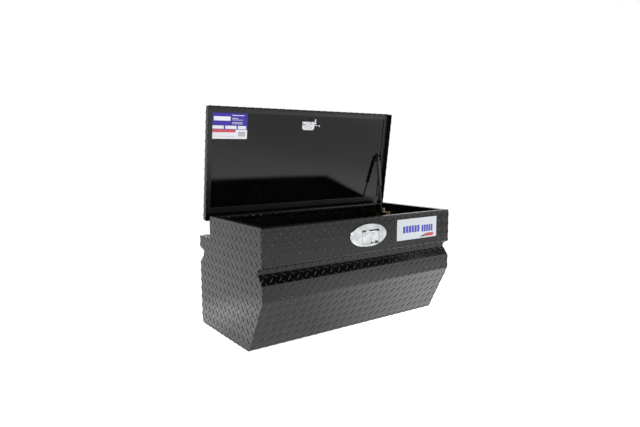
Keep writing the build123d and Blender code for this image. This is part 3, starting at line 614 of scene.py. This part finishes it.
lid_across = (0.0, lid_profile[0][-1])
lid_run = (LID_REAR + BEND, LID_FRONT - BEND)
tread("tread_lid", lid_across, lid_run, lid_face, "lid", keep_all)
flange_x = (-LID_HALF + BEND, LID_HALF - BEND)
flange_in = (LID_TOP + BEND, LID_EDGE)
front_flange, rear_flange = lid_flange(LID_FRONT, 1.0), lid_flange(LID_REAR, -1.0)
tread("tread_lid_front", flange_x, flange_in, front_flange, "lid", keep_all)
tread("tread_lid_rear", flange_x, flange_in, rear_flange, "lid", clear_of_rivets)


# ================================================================ label prints
def print_blocks(name, to_world, blocks, material, body, lift):
    """Flat printed shapes on a label. Each block is a list of corners in the label's plane."""
    shape = bmesh.new()
    for corners in blocks:
        base = [shape.verts.new(to_world(a, b, 0.0)) for a, b in corners]
        top = [shape.verts.new(to_world(a, b, lift)) for a, b in corners]
        shape.faces.new(top)
        shape.faces.new(list(reversed(base)))
        for i in range(len(corners)):
            j = (i + 1) % len(corners)
            shape.faces.new((base[i], base[j], top[j], top[i]))
    bmesh.ops.recalc_face_normals(shape, faces=shape.faces)
    mesh = bpy.data.meshes.new(name)
    shape.to_mesh(mesh)
    shape.free()
    mesh.materials.append(material)
    piece = bpy.data.objects.new(name, mesh)
    bpy.context.scene.collection.objects.link(piece)
    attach(piece, body)


def panel(left, right, low, high):
    """A rectangle from shares of the label's width and height."""
    return [(left, low), (right, low), (right, high), (left, high)]


front_low, front_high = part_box("front_label")


def on_front(a, b, lift):
    """World point on the front label, from shares of its width and height."""
    x = front_low.x + a * (front_high.x - front_low.x)
    z = front_low.z + b * (front_high.z - front_low.z)
    return (x, front_low.y - lift, z)


FILM = 0.00012               # thickness of the print


def bars(left, right, low, high, count):
    """Upright bars side by side, where the real label has a word."""
    step = (right - left) / count
    return [panel(left + i * step, left + (i + 0.8) * step, low, high) for i in range(count)]


# Blocks are given as shares of the label's width and height.
front_blue = bars(0.145, 0.57, 0.33, 0.66, 6) + bars(0.61, 0.91, 0.30, 0.63, 5)
roof_line = [(0.40, 0.685), (0.56, 0.80), (0.90, 0.72), (0.56, 0.815), (0.40, 0.70)]
front_grey = [panel(0.13, 0.40, 0.685, 0.70), roof_line]
front_red = [[(0.67, 0.06), (0.91, 0.07), (0.93, 0.22), (0.745, 0.22)]]
front_dark = [[(0.555, 0.06), (0.66, 0.06), (0.735, 0.22)]]
print_blocks("front_label_blue", on_front, front_blue, blue_print, "body", FILM)
print_blocks("front_label_grey", on_front, front_grey, grey_print, "body", FILM)
print_blocks("front_label_red", on_front, front_red, red_print, "body", FILM)
print_blocks("front_label_dark", on_front, front_dark, dark_print, "body", FILM)

# The lid label's place, as the CAD has it.
LABEL_LEFT, LABEL_RIGHT = -0.4445, -0.2935
LABEL_LOW, LABEL_HIGH = 0.3186, 0.4201
LABEL_SHEET = 0.0004         # thickness of the label


def on_lid(a, b, lift):
    """World point on the lid's label, from shares of its width and height."""
    x = LABEL_LEFT + a * (LABEL_RIGHT - LABEL_LEFT)
    along = LABEL_LOW + b * (LABEL_HIGH - LABEL_LOW)
    return tuple(lid_points([x], [along], [LID_INNER + LABEL_SHEET + lift])[0])


violet = [panel(0.0, 1.0, 0.51, 1.0), panel(0.0, 1.0, 0.365, 0.385)]
violet += [panel(share - 0.02, share + 0.02, 0.385, 0.51) for share in (0.335, 0.70, 0.985)]
white_on_violet = [panel(0.03, 0.50, 0.70, 0.86)]
white_on_violet += [panel(0.55, 0.90, 0.90, 0.925), panel(0.55, 0.72, 0.79, 0.81)]
white_on_violet += [panel(0.55, 0.86, low, low + 0.018) for low in (0.58, 0.63, 0.73)]
rose = [panel(0.0, 0.66, 0.25, 0.365), panel(0.03, 0.64, 0.095, 0.105)]
code = [panel(0.74 + 0.03 * i, 0.752 + 0.03 * i, 0.10, 0.28) for i in range(7)]
print_blocks("lid_label_violet", on_lid, violet, violet_print, "lid", FILM)
print_blocks("lid_label_white", on_lid, white_on_violet, lid_vinyl, "lid", 2 * FILM)
print_blocks("lid_label_rose", on_lid, rose, rose_print, "lid", FILM)
print_blocks("lid_label_code", on_lid, code, dark_print, "lid", FILM)


# ================================================================ floor, light, camera
floor_mesh = bpy.data.meshes.new("floor")
corner_signs = ((-1, -1), (1, -1), (1, 1), (-1, 1))
floor_corners = [(FLOOR_HALF * x, FLOOR_HALF * y, 0) for x, y in corner_signs]
floor_mesh.from_pydata(floor_corners, [], [(0, 1, 2, 3)])
floor_mesh.materials.append(floor_with_painted_light())
floor = bpy.data.objects.new("floor", floor_mesh)
bpy.context.scene.collection.objects.link(floor)


def studio_world():
    """White walls under a dark ceiling."""
    world = bpy.data.worlds.new("studio")
    world.use_nodes = True
    tree = world.node_tree
    split = tree.nodes.new("ShaderNodeSeparateXYZ")
    tree.links.new(tree.nodes.new("ShaderNodeTexCoord").outputs["Generated"], split.inputs["Vector"])
    walls = spread(tree, split.outputs["Z"], 1.0, CEILING_LIGHT, WALL_TOP, CEILING)
    background = tree.nodes["Background"]
    background.inputs["Color"].default_value = (1.0, 1.0, 1.0, 1)
    tree.links.new(walls, background.inputs["Strength"])
    bpy.context.scene.world = world


studio_world()


def softbox(name, place, target, size, power):
    """A square area light that faces a point."""
    light = bpy.data.lights.new(name, "AREA")
    light.shape = "SQUARE"
    light.size = size
    light.energy = power
    lamp = bpy.data.objects.new(name, light)
    lamp.location = place
    lamp.rotation_euler = (Vector(target) - Vector(place)).to_track_quat("-Z", "Y").to_euler()
    bpy.context.scene.collection.objects.link(lamp)


softbox("right_softbox", (1.6, -1.4, 1.2), (0.45, -0.35, 0), 0.8, 8)
softbox("left_softbox", (-1.9, 0.7, 1.3), (-0.7, 0.1, 0), 0.8, 8)
softbox("key_softbox", (-1.6, -2.6, 2.4), (0, -0.2, 0.3), 0.4, 30)

# The camera stands in front of the box's left end, above its rim.
CAMERA_PLACE = (-1.3009, -1.7587, 0.7132)
CAMERA_YAW = radians(35.668)
CAMERA_PITCH = radians(-6.864)
CAMERA_ROLL = radians(-0.239)
CAMERA_LENS = 29.34
camera = bpy.data.objects.new("camera", bpy.data.cameras.new("camera"))
camera.data.lens = CAMERA_LENS
camera.data.sensor_width = 36.0
camera.data.clip_end = 100.0
camera.matrix_world = (
    Matrix.Translation(CAMERA_PLACE)
    @ Matrix.Rotation(-CAMERA_YAW, 4, "Z")
    @ Matrix.Rotation(pi / 2 + CAMERA_PITCH, 4, "X")
    @ Matrix.Rotation(CAMERA_ROLL, 4, "Z")
)
bpy.context.scene.collection.objects.link(camera)
bpy.context.scene.camera = camera
bpy.context.scene.view_settings.view_transform = "Standard"
